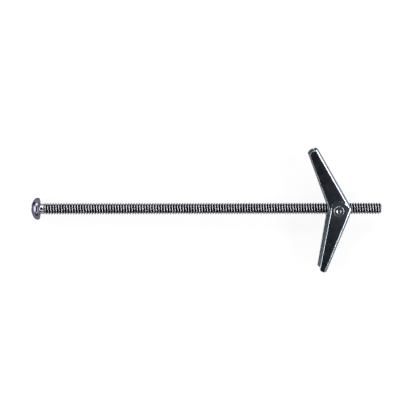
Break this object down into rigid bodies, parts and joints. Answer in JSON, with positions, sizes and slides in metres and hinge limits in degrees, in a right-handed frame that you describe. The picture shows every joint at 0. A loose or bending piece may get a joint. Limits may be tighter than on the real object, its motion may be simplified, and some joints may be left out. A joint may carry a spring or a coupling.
{
  "type": "spring toggle bolt",
  "caption": "Slotted round-head machine screw with a barrel nut and two sprung folding wings that open behind a hollow wall.",
  "frame": {"origin": "centre of the flat face under the screw head", "axes": "+X along the screw to its point, +Z along the axis that the wings turn about, +Y towards the inner wing"},
  "size_m": [0.1037, 0.037, 0.0088],
  "materials": {
    "screw_steel": "bright zinc plated",
    "nut_steel": "bright zinc plated",
    "wing_steel": "bright blue zinc plated sheet",
    "spring_steel": "plain spring wire"
  },
  "bodies": {
    "screw": {"machine_screw": "screw_steel"},
    "nut": {"barrel_nut": "nut_steel", "torsion_spring": "spring_steel"},
    "outer_wing": {"outer_wing": "wing_steel"},
    "inner_wing": {"inner_wing": "wing_steel"}
  },
  "joints": [
    {"name": "nut_travel", "type": "slide", "parent": "screw", "child": "nut", "axis": [1, 0, 0], "range_m": [-0.068, 0.034]},
    {"name": "outer_wing_hinge", "type": "hinge", "parent": "nut", "child": "outer_wing", "pos_m": [0.088, 0, 0], "axis": [0, 0, -1], "range_deg": [0, 73], "stiffness_Nm_per_rad": 0.02, "springref_deg": -17.19, "deforming": ["torsion_spring"]},
    {"name": "inner_wing_hinge", "type": "hinge", "parent": "nut", "child": "inner_wing", "pos_m": [0.088, 0, 0], "axis": [0, 0, 1], "range_deg": [0, 62], "stiffness_Nm_per_rad": 0.02, "springref_deg": -17.19, "deforming": ["torsion_spring"]}
  ]
}
